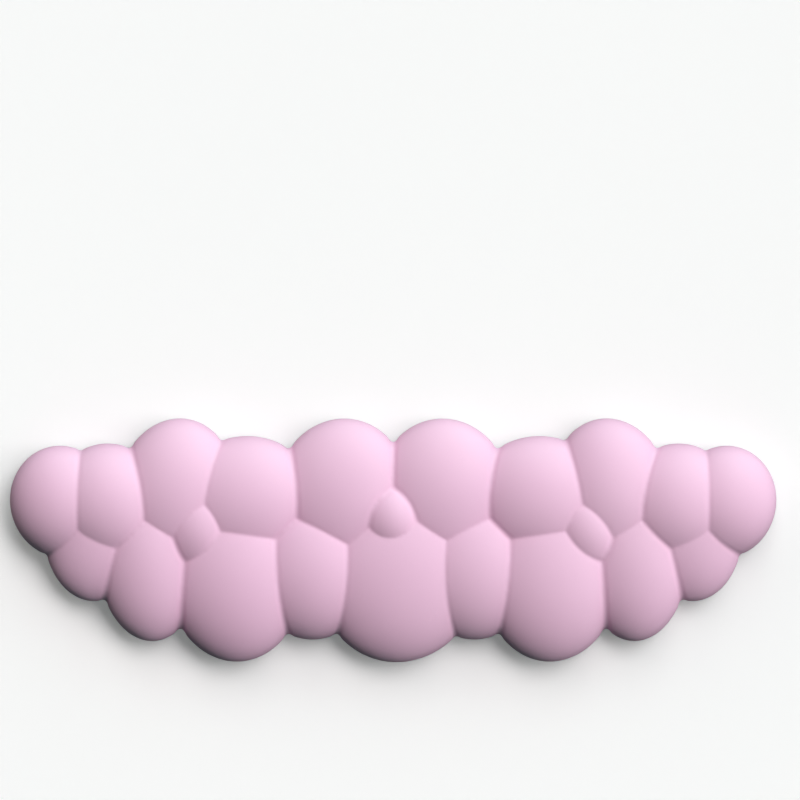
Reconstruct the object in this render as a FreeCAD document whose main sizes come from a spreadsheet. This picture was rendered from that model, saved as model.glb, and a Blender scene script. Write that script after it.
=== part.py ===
"""Cloud-shaped wrist rest for a keyboard.

A free-standing cushion, lobed like a cloud. From the desk upwards it is a non-slip rubber base pad, a
bonding film, and a memory foam core inside a one-piece moulded skin whose bottom edge is turned in
under the foam as a hem.

Millimetres. X runs along the rest, +Y points to the keyboard, +Z is up. The origin lies on the desk,
at the middle of the rest's outline.
"""

import FreeCAD, Part
import os

Vector = FreeCAD.Vector
Rotation = FreeCAD.Rotation
Z_AXIS = Vector(0, 0, 1)
ABOUT_Z = FreeCAD.Placement(Vector(0, 0, 0), Rotation(Z_AXIS, 1))  # so that a formula can set the turn
doc = FreeCAD.newDocument("CloudWristRest")

# ---------------------------------------------------------------- driving dimensions

DIMENSIONS = {
    "base_thickness": 1.8,  # rubber sheet
    "film_thickness": 0.2,  # double-sided bonding film
    "skin": 1.0,  # wall of the moulded skin
    "seam_level": 7.0,  # height at which every lobe is widest
    "base_inset": 3.5,  # edge of the base pad, inside the lobes' widest outline
    "film_inset": 4.0,  # edge of the bonding film, inside the same outline
    "window_length": 250.0,  # middle window in the hem, where the foam meets the film
    "window_width": 51.0,
    "window_y": -0.5,  # its middle
    "window_corner": 12.0,
}

# Each lobe is part of an ellipsoid whose middle is at seam_level: the place of its middle, its half
# widths along its own X and Y, the height of its top over the desk, and its turn about Z in degrees.
# Those in PAIRED_LOBES stand on the right, with their mirror image on the left.
LOBE_FIELDS = ("x", "y", "rx", "ry", "top", "turn")
PAIRED_LOBES = {
    "back_inner": (23.3, 21.2, 30.8, 34.5, 23.6, 7.0),
    "back_round": (67.8, 18.1, 29.5, 32.7, 24.9, 82.0),
    "back_outer": (99.5, 22.5, 27.1, 33.4, 24.5, 10.0),
    "back_narrow": (129.7, 16.7, 26.4, 27.7, 25.0, -20.0),
    "back_end": (151.7, 17.6, 23.5, 25.7, 23.0, -10.0),
    "front_narrow": (37.4, -13.0, 28.4, 32.5, 23.6, -3.0),
    "front_wide": (72.3, -15.9, 31.8, 39.7, 24.5, -3.0),
    "front_outer": (111.0, -9.2, 24.1, 37.0, 22.8, -2.0),
    "front_end": (135.1, 7.3, 24.8, 35.3, 20.8, 5.0),
    "small": (88.5, 5.1, 19.0, 22.7, 24.1, 12.0),
}
MIDDLE_LOBES = {
    "front_middle": (2.9, -14.8, 37.6, 41.2, 24.4, -12.0),
    "small_middle": (-0.2, 8.9, 17.4, 19.3, 24.4, -6.0),
}
LOBES = {**PAIRED_LOBES, **MIDDLE_LOBES}
LOBE_PLACES = [(lobe, side) for lobe in PAIRED_LOBES for side in (1, -1)]
LOBE_PLACES += [(lobe, 1) for lobe in MIDDLE_LOBES]

SLAB_LENGTH = 400.0
SLAB_WIDTH = 160.0
SLAB_HEIGHT = 60.0

HEM_BOTTOM = "(Dimensions.base_thickness + Dimensions.film_thickness)"
HEM_TOP = "(Dimensions.base_thickness + Dimensions.film_thickness + Dimensions.skin)"
SEAM_LEVEL = "Dimensions.seam_level"


def fill_sheet():
    """The spreadsheet with every driving dimension, one aliased cell each."""
    made = doc.addObject("Spreadsheet::Sheet", "Dimensions")
    values = dict(DIMENSIONS)
    for lobe, numbers in LOBES.items():
        for field, number in zip(LOBE_FIELDS, numbers):
            values[f"{lobe}_{field}"] = number
    for row, (alias, number) in enumerate(values.items(), start=1):
        made.set(f"A{row}", alias)
        made.set(f"B{row}", str(number))
        made.setAlias(f"B{row}", alias)
    doc.recompute()
    return made


def add(kind, label, formulas=None, **properties):
    """One object of the document, with properties bound to formulas."""
    made = doc.addObject(kind, label)
    made.Label = label
    for name, value in properties.items():
        setattr(made, name, value)
    for name, formula in (formulas or {}).items():
        made.setExpression(name, formula)
    return made


def standing(lobe, side, level, quarter=0):
    """Formulas that place one lobe's primitive at a level, turned about Z."""
    return {
        "Placement.Base.x": f"{side} * Dimensions.{lobe}_x",
        "Placement.Base.y": f"Dimensions.{lobe}_y",
        "Placement.Base.z": level,
        "Placement.Rotation.Angle": f"{quarter} + {side} * Dimensions.{lobe}_turn",
    }


# ---------------------------------------------------------------- flat pieces with the lobed outline


def lobe_plate(lobe, side, inset, bottom, top):
    """One lobe's ellipse at its widest, smaller by the inset, as a flat plate."""
    formulas = {
        "MajorRadius": f"Dimensions.{lobe}_ry - {inset}",
        "MinorRadius": f"Dimensions.{lobe}_rx - {inset}",
    }
    formulas.update(standing(lobe, side, bottom, quarter=90))
    ring = add("Part::Ellipse", "lobe_ring", formulas, Placement=ABOUT_Z)
    height = {"LengthFwd": f"{top} - {bottom}"}
    return add("Part::Extrusion", "lobe_plate", height, Base=ring, DirMode="Custom", Dir=Z_AXIS, Solid=True)


def lobed_plate(label, inset, bottom, top):
    """A flat piece that follows the lobes' outline at an inset."""
    plates = [lobe_plate(lobe, side, inset, bottom, top) for lobe, side in LOBE_PLACES]
    return add("Part::MultiFuse", label, Shapes=plates, Refine=True)


# ---------------------------------------------------------------- lobed forms


def lobe_puff(lobe, side, inset):
    """One lobe's ellipsoid, smaller all round by the inset."""
    formulas = {
        "Radius1": f"Dimensions.{lobe}_top - {SEAM_LEVEL} - {inset}",
        "Radius2": f"Dimensions.{lobe}_rx - {inset}",
        "Radius3": f"Dimensions.{lobe}_ry - {inset}",
    }
    formulas.update(standing(lobe, side, SEAM_LEVEL))
    return add("Part::Ellipsoid", "lobe_puff", formulas, Angle1=-90, Angle2=90, Placement=ABOUT_Z)


def lobed_form(label, inset, bottom):
    """All the lobes in one solid, cut off flat at the bottom."""
    puffs = [lobe_puff(lobe, side, inset) for lobe, side in LOBE_PLACES]
    whole = add("Part::MultiFuse", f"{label}_whole", Shapes=puffs)
    corner = FreeCAD.Placement(Vector(-SLAB_LENGTH / 2, -SLAB_WIDTH / 2, 0), Rotation())
    slab_sizes = {"Length": SLAB_LENGTH, "Width": SLAB_WIDTH, "Height": SLAB_HEIGHT, "Placement": corner}
    slab = add("Part::Box", f"{label}_slab", {"Placement.Base.z": bottom}, **slab_sizes)
    return add("Part::MultiCommon", label, Shapes=[whole, slab])


def make_hem_window():
    """The middle window in the hem, with rounded corners."""
    formulas = {
        "Length": "Dimensions.window_length",
        "Width": "Dimensions.window_width",
        "Height": f"{HEM_TOP} - {HEM_BOTTOM}",
        "Placement.Base.x": "-Dimensions.window_length / 2",
        "Placement.Base.y": "Dimensions.window_y - Dimensions.window_width / 2",
        "Placement.Base.z": HEM_BOTTOM,
    }
    plain = add("Part::Box", "plain_window", formulas)
    doc.recompute()
    corner = sheet.get("window_corner")
    upright = [
        number
        for number, edge in enumerate(plain.Shape.Edges, start=1)
        if abs(edge.tangentAt(edge.FirstParameter).z) > 0.5
    ]
    return add("Part::Fillet", "hem_window", Base=plain, Edges=[(number, corner, corner) for number in upright])


# ---------------------------------------------------------------- sub-parts


def make_cover_skin():
    """Moulded skin: the lobed shell, with its bottom edge turned in as a hem around the window."""
    outer_form = lobed_form("outer_form", "0", HEM_BOTTOM)
    inside = add("Part::MultiFuse", "inside", Shapes=[inner_form, hem_window])
    return add("Part::Cut", "cover_skin", Base=outer_form, Tool=inside)


def make_foam_core():
    """Memory foam: fills the skin, and the window in the hem down to the bonding film."""
    return add("Part::MultiFuse", "foam_core", Shapes=[inner_form, hem_window])


def make_bonding_film():
    """Double-sided film that holds the foam and the hem to the base pad."""
    return lobed_plate("bonding_film", "Dimensions.film_inset", "Dimensions.base_thickness", HEM_BOTTOM)


def make_base_pad():
    """Non-slip rubber sheet that stands on the desk."""
    return lobed_plate("base_pad", "Dimensions.base_inset", "0", "Dimensions.base_thickness")


sheet = fill_sheet()
inner_form = lobed_form("inner_form", "Dimensions.skin", HEM_TOP)
hem_window = make_hem_window()
sub_parts = [make_cover_skin(), make_foam_core(), make_bonding_film(), make_base_pad()]
doc.recompute()


# ---------------------------------------------------------------- checks and STEP files


def check(made):
    """Stop the build on an object that failed to recompute or has no sound shape."""
    if "Invalid" in made.State or "Error" in made.State:
        raise RuntimeError(f"{made.Label} failed to recompute: {made.State}")
    if not hasattr(made, "Shape"):
        return
    if made.Shape.isNull() or not made.Shape.isValid():
        raise RuntimeError(f"{made.Label} has no sound shape")


for made in doc.Objects:
    check(made)

os.makedirs("parts", exist_ok=True)
for sub_part in sub_parts:
    if len(sub_part.Shape.Solids) != 1:
        raise RuntimeError(f"{sub_part.Label} is not one solid")
    sub_part.Shape.exportStep(f"parts/{sub_part.Label}.step")
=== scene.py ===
"""Looks of the cloud-shaped wrist rest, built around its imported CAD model.

Metres, in the CAD frame: X runs along the rest, +Y points to the keyboard, +Z is up, and the origin
lies on the desk. The camera looks straight down.
"""

import math

import bmesh
import bpy
import numpy as np
import openvdb
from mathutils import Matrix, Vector
from mathutils.bvhtree import BVHTree


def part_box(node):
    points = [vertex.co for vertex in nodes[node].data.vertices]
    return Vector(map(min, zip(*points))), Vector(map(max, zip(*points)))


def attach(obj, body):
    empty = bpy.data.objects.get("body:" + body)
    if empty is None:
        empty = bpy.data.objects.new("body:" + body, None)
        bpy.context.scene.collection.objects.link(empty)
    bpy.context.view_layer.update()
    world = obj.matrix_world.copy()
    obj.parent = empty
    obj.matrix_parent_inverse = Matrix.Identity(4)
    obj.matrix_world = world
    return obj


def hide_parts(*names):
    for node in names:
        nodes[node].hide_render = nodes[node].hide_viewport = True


MM = 0.001

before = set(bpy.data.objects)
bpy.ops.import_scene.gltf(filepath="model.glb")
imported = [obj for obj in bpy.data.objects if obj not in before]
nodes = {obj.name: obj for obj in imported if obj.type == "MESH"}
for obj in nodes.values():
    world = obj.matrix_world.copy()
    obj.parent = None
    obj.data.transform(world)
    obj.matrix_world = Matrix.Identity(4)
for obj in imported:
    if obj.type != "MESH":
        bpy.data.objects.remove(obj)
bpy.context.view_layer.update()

# ---------------------------------------------------------------- sizes

JOIN_DISTANCE = 0.0001 * MM  # vertices nearer than this are one and the same
BAND_CELLS = 3.0  # cells that a grid keeps beyond the surface wanted from it
CREASE_RADIUS = 0.9 * MM  # the skin can't fold tighter than this in the valleys between lobes
SKIN_VOXEL = 0.55 * MM  # cell of the grid on which the valleys are rounded
SMOOTH_FACTOR = 0.5  # share of the way to its neighbours' middle that a vertex goes in one pass
SMOOTH_PASSES = 3  # enough to take away the steps of the grid
VALLEY_BALL = 4.0 * MM  # radius of a ball that rolls over the lobes and stays out of the valleys
VALLEY_VOXEL = 0.7 * MM  # cell of the grid on which it rolls
VALLEY_NOISE = 0.01 * MM  # gap under the ball that is only the grid's roughness
VALLEY_DEPTH = 0.3 * MM  # most that the skin is pulled in, where the gap is deep
SKIN_TRIANGLES = 140000  # on the outside of the skin, before the foam's hollow is cut out of it
FOAM_TRIANGLES = 50000
FLAT_BAND = 0.15 * MM  # what is this near the bottom of the skin is meant to lie on it
SOFT_CRISP_ANGLE = 50  # edges sharper than this, in degrees, stay crisp on the skin and the foam
SHEET_CRISP_ANGLE = 40  # and on the base pad

DOT_PITCH = 6.0 * MM  # grip dots under the base pad
DOT_ROW_GAP = DOT_PITCH * math.sqrt(0.75)  # between rows of a grid of equal-sided triangles
DOT_RADIUS = 1.5 * MM
DOT_HEIGHT = 0.5 * MM
DOT_ROOT = 0.3 * MM  # how far a dot reaches into the sheet
DOT_SIDES = 14
DOT_PROFILE = (  # share of the dot's radius, and level
    (0.8, 0.0),
    (1.0, 0.2 * DOT_HEIGHT),
    (1.0, DOT_HEIGHT + DOT_ROOT),
)
EDGE_MARGIN = 3.0 * MM  # a dot's middle stays this far inside the edge of the pad
EDGE_PROBES = 8  # points around a dot at which that is tested
PROBE_START = -1.0  # level from which the sheet is looked for, well under it

PATTERN_LOW = 0.3  # the middle range of a noise pattern
PATTERN_HIGH = 0.7
MIX_FACTOR = 0  # numbers of a mix node's sockets when it mixes colours
MIX_FIRST = 6
MIX_SECOND = 7
MIX_RESULT = 2
WHITE = (1.0, 1.0, 1.0)

VIEW_WIDTH = 366.5 * MM  # how much of the desk the camera sees from side to side
VIEW_SHIFT = Vector((3.1, 64.1, 0.0)) * MM  # middle of the view, from the origin
CAMERA_HEIGHT = 4.0  # far enough for the view to be nearly without perspective
SENSOR_WIDTH = 36.0
FLOOR_REACH = 40.0  # half the floor's side, so that its edge stays near the horizon
FLOOR_GLOW = 0.18  # keeps the floor pale where the rest shades it
SKY_STRENGTH = 0.01  # faint light from all over the upper half
LIGHT_SPREAD = 35.0  # width of each light as seen from the rest, in degrees


# ---------------------------------------------------------------- mesh helpers


def link(name, data):
    """A new object in the scene, with its data."""
    made = bpy.data.objects.new(name, data)
    bpy.context.scene.collection.objects.link(made)
    return made


def closed_copy(obj, name):
    """A new object with a node's mesh, its doubled edge vertices joined, so that it is closed."""
    mesh = obj.data.copy()
    mesh.name = name
    joined = bmesh.new()
    joined.from_mesh(mesh)
    bmesh.ops.remove_doubles(joined, verts=joined.verts, dist=JOIN_DISTANCE)
    joined.to_mesh(mesh)
    joined.free()
    return link(name, mesh)


def new_object(name, points, faces):
    """A new mesh object from its points and faces."""
    mesh = bpy.data.meshes.new(name)
    mesh.from_pydata(points, [], faces)
    return link(name, mesh)


def mesh_arrays(objects):
    """The vertices and triangles of some objects, as two arrays."""
    all_points = []
    all_triangles = []
    count = 0
    for obj in objects:
        mesh = obj.data
        mesh.calc_loop_triangles()
        points = np.empty(len(mesh.vertices) * 3, np.float32)
        mesh.vertices.foreach_get("co", points)
        triangles = np.empty(len(mesh.loop_triangles) * 3, np.int32)
        mesh.loop_triangles.foreach_get("vertices", triangles)
        all_points.append(points.reshape(-1, 3))
        all_triangles.append(triangles.reshape(-1, 3) + count)
        count += len(mesh.vertices)
    return np.concatenate(all_points), np.concatenate(all_triangles).astype(np.uint32)


def offset_surface(points, triangles, quads, distance, voxel):
    """The surface at a distance outside a closed one, or inside it where the distance is negative.

    The grid gives its faces inside out, so they are turned over.
    """
    grid = openvdb.FloatGrid.createLevelSetFromPolygons(
        points,
        triangles=triangles,
        quads=quads,
        transform=openvdb.createLinearTransform(voxel),
        halfWidth=abs(distance) / voxel + BAND_CELLS,
    )
    points, triangles, quads = grid.convertToPolygons(isovalue=distance)
    return points, triangles[:, ::-1], quads[:, ::-1]


def rolled_over(points, triangles, ball, voxel):
    """A closed surface with its valleys filled as far as a rolling ball can't reach."""
    grown = offset_surface(points, triangles, None, ball, voxel)
    return offset_surface(*grown, -ball, voxel)


def modify(obj, kind, **settings):
    """Apply one modifier to an object's mesh."""
    modifier = obj.modifiers.new(kind.lower(), kind)
    for key, value in settings.items():
        setattr(modifier, key, value)
    depsgraph = bpy.context.evaluated_depsgraph_get()
    baked = bpy.data.meshes.new_from_object(obj.evaluated_get(depsgraph))
    obj.modifiers.clear()
    obj.data = baked


def shade(obj, degrees):
    """Smooth shading, with edges sharper than the angle kept crisp."""
    obj.data.shade_smooth()
    obj.data.set_sharp_from_angle(angle=math.radians(degrees))


def dress(obj, material):
    """One material all over an object."""
    obj.data.materials.clear()
    obj.data.materials.append(material)
    obj.data.polygons.foreach_set("material_index", [0] * len(obj.data.polygons))


def remove(*objects):
    """Take objects out of the scene."""
    for obj in objects:
        bpy.data.objects.remove(obj, do_unlink=True)


# ---------------------------------------------------------------- node helpers


def new_material(name):
    """A new material, its node tree and its shader."""
    material = bpy.data.materials.new(name)
    material.use_nodes = True
    tree = material.node_tree
    return material, tree, tree.nodes["Principled BSDF"]


def set_inputs(node, **values):
    """Set a node's inputs, whose names have spaces where these have underscores."""
    for key, value in values.items():
        node.inputs[key.replace("_", " ")].default_value = value


def object_point(tree):
    """Where a point is on the object, in metres, whatever the view."""
    return tree.nodes.new("ShaderNodeTexCoord").outputs["Object"]


def noise(tree, size, detail=2.0):
    """Noise whose features are about the given size."""
    node = tree.nodes.new("ShaderNodeTexNoise")
    set_inputs(node, Scale=1.0 / size, Detail=detail)
    tree.links.new(object_point(tree), node.inputs["Vector"])
    return node.outputs["Fac"]


def cells(tree, size):
    """Cell pattern whose cells are about the given size."""
    node = tree.nodes.new("ShaderNodeTexVoronoi")
    set_inputs(node, Scale=1.0 / size)
    tree.links.new(object_point(tree), node.inputs["Vector"])
    return node.outputs["Distance"]


def ramp(tree, factor, low, high):
    """A value that goes from low to high as a pattern goes through its middle range."""
    node = tree.nodes.new("ShaderNodeMapRange")
    set_inputs(node, From_Min=PATTERN_LOW, From_Max=PATTERN_HIGH, To_Min=low, To_Max=high)
    tree.links.new(factor, node.inputs["Value"])
    return node.outputs["Result"]


def blend_colour(tree, factor, low, high):
    """A colour between two, by a pattern."""
    node = tree.nodes.new("ShaderNodeMix")
    node.data_type = "RGBA"
    tree.links.new(ramp(tree, factor, 0.0, 1.0), node.inputs[MIX_FACTOR])
    node.inputs[MIX_FIRST].default_value = low
    node.inputs[MIX_SECOND].default_value = high
    return node.outputs[MIX_RESULT]


def bump(tree, heights, depth, strength, below=None):
    """A bump of the given depth, laid over the one below where there is one."""
    node = tree.nodes.new("ShaderNodeBump")
    set_inputs(node, Strength=strength, Distance=depth)
    tree.links.new(heights, node.inputs["Height"])
    if below is not None:
        tree.links.new(below, node.inputs["Normal"])
    return node.outputs["Normal"]


def srgb(red, green, blue):
    """A shader colour from display values of 0 to 255."""
    shares = [value / 255.0 for value in (red, green, blue)]
    linear = [s / 12.92 if s <= 0.04045 else ((s + 0.055) / 1.055) ** 2.4 for s in shares]
    return (*linear, 1.0)


# ---------------------------------------------------------------- materials


def finish_material(name, tones, tone_size, roughness, roughness_size, normal, **settings):
    """A mottled colour, an uneven roughness and a bump, with the shader's fixed settings."""
    material, tree, shader = new_material(name)
    tone = blend_colour(tree, noise(tree, tone_size), *tones)
    tree.links.new(tone, shader.inputs["Base Color"])
    tree.links.new(ramp(tree, noise(tree, roughness_size), *roughness), shader.inputs["Roughness"])
    tree.links.new(normal(tree), shader.inputs["Normal"])
    set_inputs(shader, **settings)
    return material


def skin_material():
    """Pink polyurethane leather: soft sheen, a fine close grain, and a slightly uneven tone."""

    def grain(tree):
        pebbles = bump(tree, cells(tree, size=0.7 * MM), depth=0.02 * MM, strength=0.3)
        creases = noise(tree, size=2.0 * MM, detail=4.0)
        return bump(tree, creases, depth=0.04 * MM, strength=0.15, below=pebbles)

    return finish_material(
        "skin_leather",
        tones=(srgb(242, 192, 221), srgb(246, 197, 225)),
        tone_size=60 * MM,
        roughness=(0.57, 0.63),
        roughness_size=9 * MM,
        normal=grain,
        Specular_IOR_Level=0.3,
    )


def foam_material():
    """Cream memory foam with open cells."""

    def pores(tree):
        return bump(tree, cells(tree, size=0.6 * MM), depth=0.2 * MM, strength=0.7)

    return finish_material(
        "memory_foam",
        tones=(srgb(240, 232, 208), srgb(247, 241, 222)),
        tone_size=12 * MM,
        roughness=(0.85, 0.95),
        roughness_size=3 * MM,
        normal=pores,
    )


def film_material():
    """Milky double-sided film, with the faint mottle of its glue."""

    def mottle(tree):
        return bump(tree, noise(tree, size=1.5 * MM), depth=0.02 * MM, strength=0.3)

    return finish_material(
        "bonding_film",
        tones=(srgb(226, 226, 216), srgb(236, 236, 228)),
        tone_size=5 * MM,
        roughness=(0.25, 0.4),
        roughness_size=2 * MM,
        normal=mottle,
    )


def rubber_material():
    """Charcoal rubber with a fine matt pebble."""

    def pebble(tree):
        return bump(tree, cells(tree, size=0.5 * MM), depth=0.03 * MM, strength=0.5)

    return finish_material(
        "base_rubber",
        tones=(srgb(46, 45, 48), srgb(56, 55, 58)),
        tone_size=20 * MM,
        roughness=(0.6, 0.75),
        roughness_size=4 * MM,
        normal=pebble,
    )


def floor_material():
    """Pale desk top."""
    material, tree, shader = new_material("pale_floor")
    mottle = noise(tree, size=400 * MM)
    tone = blend_colour(tree, mottle, low=(0.92, 0.885, 0.89, 1.0), high=(0.93, 0.895, 0.9, 1.0))
    tree.links.new(tone, shader.inputs["Base Color"])
    set_inputs(shader, Roughness=0.9, Specular_IOR_Level=0.0)
    set_inputs(shader, Emission_Color=(*WHITE, 1.0), Emission_Strength=FLOOR_GLOW)
    return material


# ---------------------------------------------------------------- pieces


def rounded_form(name, form):
    """A solid with the outer shape of a form, its valleys no tighter than a crease."""
    points, triangles, quads = rolled_over(*form, CREASE_RADIUS, SKIN_VOXEL)
    made = new_object(name, points, [*triangles.tolist(), *quads.tolist()])
    modify(made, "SMOOTH", factor=SMOOTH_FACTOR, iterations=SMOOTH_PASSES)
    return made


def thin_out(obj, count):
    """Fewer, larger triangles where a mesh is nearly flat."""
    modify(obj, "TRIANGULATE")
    modify(obj, "DECIMATE", ratio=count / len(obj.data.polygons))


def flatten_bottom(obj):
    """Put the vertices that nearly lie on the bottom of the skin exactly on it."""
    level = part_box("cover_skin")[0][2]
    for vertex in obj.data.vertices:
        if vertex.co.z < level + FLAT_BAND:
            vertex.co.z = level


def make_foam_core():
    """The memory foam that fills the skin."""
    core = closed_copy(nodes["foam_core"], "cad_core")
    foam = rounded_form("foam", mesh_arrays([core]))
    thin_out(foam, FOAM_TRIANGLES)
    flatten_bottom(foam)
    remove(core)
    shade(foam, SOFT_CRISP_ANGLE)
    dress(foam, foam_material())
    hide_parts("foam_core")
    return foam


def pull_in_valleys(cover, form):
    """Press the skin in along the valleys between lobes, most where they are deep."""
    points, triangles, quads = rolled_over(*form, VALLEY_BALL, VALLEY_VOXEL)
    bridged = BVHTree.FromPolygons(points.tolist(), [*triangles.tolist(), *quads.tolist()])
    moves = []
    for vertex in cover.data.vertices:
        gap = max(bridged.find_nearest(vertex.co)[3] - VALLEY_NOISE, 0.0)
        moves.append(VALLEY_DEPTH * math.tanh(gap / VALLEY_DEPTH) * vertex.normal)
    for vertex, move in zip(cover.data.vertices, moves):
        vertex.co -= move


def make_cover_skin(foam):
    """The moulded skin: the CAD lobes with soft valleys, hollow for the foam, with its turned-in hem."""
    shell = closed_copy(nodes["cover_skin"], "cad_shell")
    core = closed_copy(nodes["foam_core"], "cad_core")
    form = mesh_arrays([shell, core])
    cover = rounded_form("cover", form)
    pull_in_valleys(cover, form)
    thin_out(cover, SKIN_TRIANGLES)
    flatten_bottom(cover)
    modify(cover, "BOOLEAN", operation="DIFFERENCE", solver="MANIFOLD", object=foam)
    remove(shell, core)
    shade(cover, SOFT_CRISP_ANGLE)
    dress(cover, skin_material())
    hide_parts("cover_skin")
    return cover


def dot_places(sheet):
    """The middles of the grip dots: a staggered grid, kept inside the sheet's outline."""
    low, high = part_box("base_pad")
    rows = int((high[1] - low[1]) / 2 / DOT_ROW_GAP)
    columns = int((high[0] - low[0]) / 2 / DOT_PITCH) + 1
    middle = (high[1] + low[1]) / 2
    up = Vector((0, 0, 1))
    around = [math.radians(360 / EDGE_PROBES * step) for step in range(EDGE_PROBES)]
    reach = [(EDGE_MARGIN * math.cos(turn), EDGE_MARGIN * math.sin(turn)) for turn in around]

    def inside(x, y):
        return sheet.ray_cast(Vector((x, y, PROBE_START)), up)[0]

    for row in range(-rows, rows + 1):
        for column in range(-columns, columns + 1):
            x = (column + 0.5 * (row % 2)) * DOT_PITCH
            y = middle + row * DOT_ROW_GAP
            if all(inside(x + across, y + along) for across, along in reach):
                yield x, y


def add_ring(made, x, y, radius, level):
    """The vertices of one level ring around a dot's middle."""
    ring = []
    for side in range(DOT_SIDES):
        turn = math.tau * side / DOT_SIDES
        across = radius * DOT_RADIUS * math.cos(turn)
        along = radius * DOT_RADIUS * math.sin(turn)
        ring.append(made.verts.new((x + across, y + along, level)))
    return ring


def add_dot(made, x, y):
    """One closed grip dot, its edge broken where it meets the desk."""
    rings = [add_ring(made, x, y, radius, level) for radius, level in DOT_PROFILE]
    made.faces.new(reversed(rings[0]))
    made.faces.new(rings[-1])
    for below, above in zip(rings, rings[1:]):
        for side in range(DOT_SIDES):
            after = (side + 1) % DOT_SIDES
            made.faces.new((below[side], below[after], above[after], above[side]))


def make_dots(places):
    """All the grip dots in one mesh."""
    made = bmesh.new()
    for x, y in places:
        add_dot(made, x, y)
    mesh = bpy.data.meshes.new("dots")
    made.to_mesh(mesh)
    made.free()
    return link("dots", mesh)


def make_base_pad():
    """The rubber sheet of the base, standing on grip dots."""
    sheet = closed_copy(nodes["base_pad"], "base")
    places = list(dot_places(sheet))
    for vertex in sheet.data.vertices:
        vertex.co.z = max(vertex.co.z, DOT_HEIGHT)
    dots = make_dots(places)
    modify(sheet, "BOOLEAN", operation="UNION", solver="MANIFOLD", object=dots)
    remove(dots)
    shade(sheet, SHEET_CRISP_ANGLE)
    dress(sheet, rubber_material())
    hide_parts("base_pad")
    return sheet


foam = make_foam_core()
for piece in (foam, make_cover_skin(foam), make_base_pad()):
    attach(piece, "root")

# The film keeps its CAD mesh: it is a flat sheet, hidden between the rest and its base.
nodes["bonding_film"].data.materials[0] = film_material()


# ---------------------------------------------------------------- floor, light and camera


def make_floor():
    """The desk, which doesn't throw its own light back on the rest."""
    side = FLOOR_REACH
    corners = [(-side, -side, 0), (side, -side, 0), (side, side, 0), (-side, side, 0)]
    floor = new_object("floor", corners, [(0, 1, 2, 3)])
    dress(floor, floor_material())
    floor.visible_diffuse = False
    floor.visible_glossy = False


def soft_light(name, bearing, elevation, strength, colour=WHITE, gloss_only=False):
    """A wide, far light from a bearing (0 is +X, 90 is +Y) and an elevation, in degrees.

    One for gloss only shows in the sheen of a surface and doesn't light its own colour.
    """
    data = bpy.data.lights.new(name, "SUN")
    data.energy = strength
    data.angle = math.radians(LIGHT_SPREAD)
    data.color = colour
    light = link(name, data)
    level = math.cos(math.radians(elevation))
    towards = Vector((
        level * math.cos(math.radians(bearing)),
        level * math.sin(math.radians(bearing)),
        math.sin(math.radians(elevation)),
    ))
    light.rotation_euler = towards.to_track_quat("Z", "Y").to_euler()
    light.visible_diffuse = not gloss_only


def make_world():
    """Faint white light from above, none from below."""
    world = bpy.data.worlds.new("studio")
    world.use_nodes = True
    tree = world.node_tree
    above = tree.nodes.new("ShaderNodeSeparateXYZ")
    tree.links.new(tree.nodes.new("ShaderNodeTexCoord").outputs["Generated"], above.inputs[0])
    edge = tree.nodes.new("ShaderNodeMath")
    edge.operation = "GREATER_THAN"
    edge.inputs[1].default_value = 0.0
    tree.links.new(above.outputs["Z"], edge.inputs[0])
    tree.links.new(edge.outputs[0], tree.nodes["Background"].inputs["Color"])
    set_inputs(tree.nodes["Background"], Strength=SKY_STRENGTH)
    bpy.context.scene.world = world


def make_camera():
    """A far camera that looks straight down, with the rest in the lower part of its view."""
    data = bpy.data.cameras.new("camera")
    data.sensor_width = SENSOR_WIDTH
    data.lens = SENSOR_WIDTH * CAMERA_HEIGHT / VIEW_WIDTH
    camera = link("camera", data)
    camera.location = VIEW_SHIFT + Vector((0.0, 0.0, CAMERA_HEIGHT))
    bpy.context.scene.camera = camera


def light_studio():
    """High white lights, low tinted ones, and a gleam that takes the pink towards white."""
    soft_light("back", 90, 40, 0.8)
    soft_light("corner", 45, 52, 1.25)
    soft_light("right", 0, 45, 0.65)
    soft_light("right_low", 0, 15, 0.82, colour=(0.94, 1.0, 0.97))
    soft_light("corner_low", 45, 15, 0.8, colour=(0.72, 1.0, 0.97))
    soft_light("back_low", 90, 15, 0.4, colour=(0.55, 1.0, 0.9))
    soft_light("left_low", 135, 15, 0.58, colour=(1.0, 1.0, 0.93))
    soft_light("front_low", 265, 15, 0.22, colour=(0.55, 1.0, 0.87))
    soft_light("gleam", 65, 15, 2.6, colour=(0.1, 1.0, 0.8), gloss_only=True)


make_floor()
make_world()
light_studio()
make_camera()
bpy.context.scene.view_settings.view_transform = "Standard"
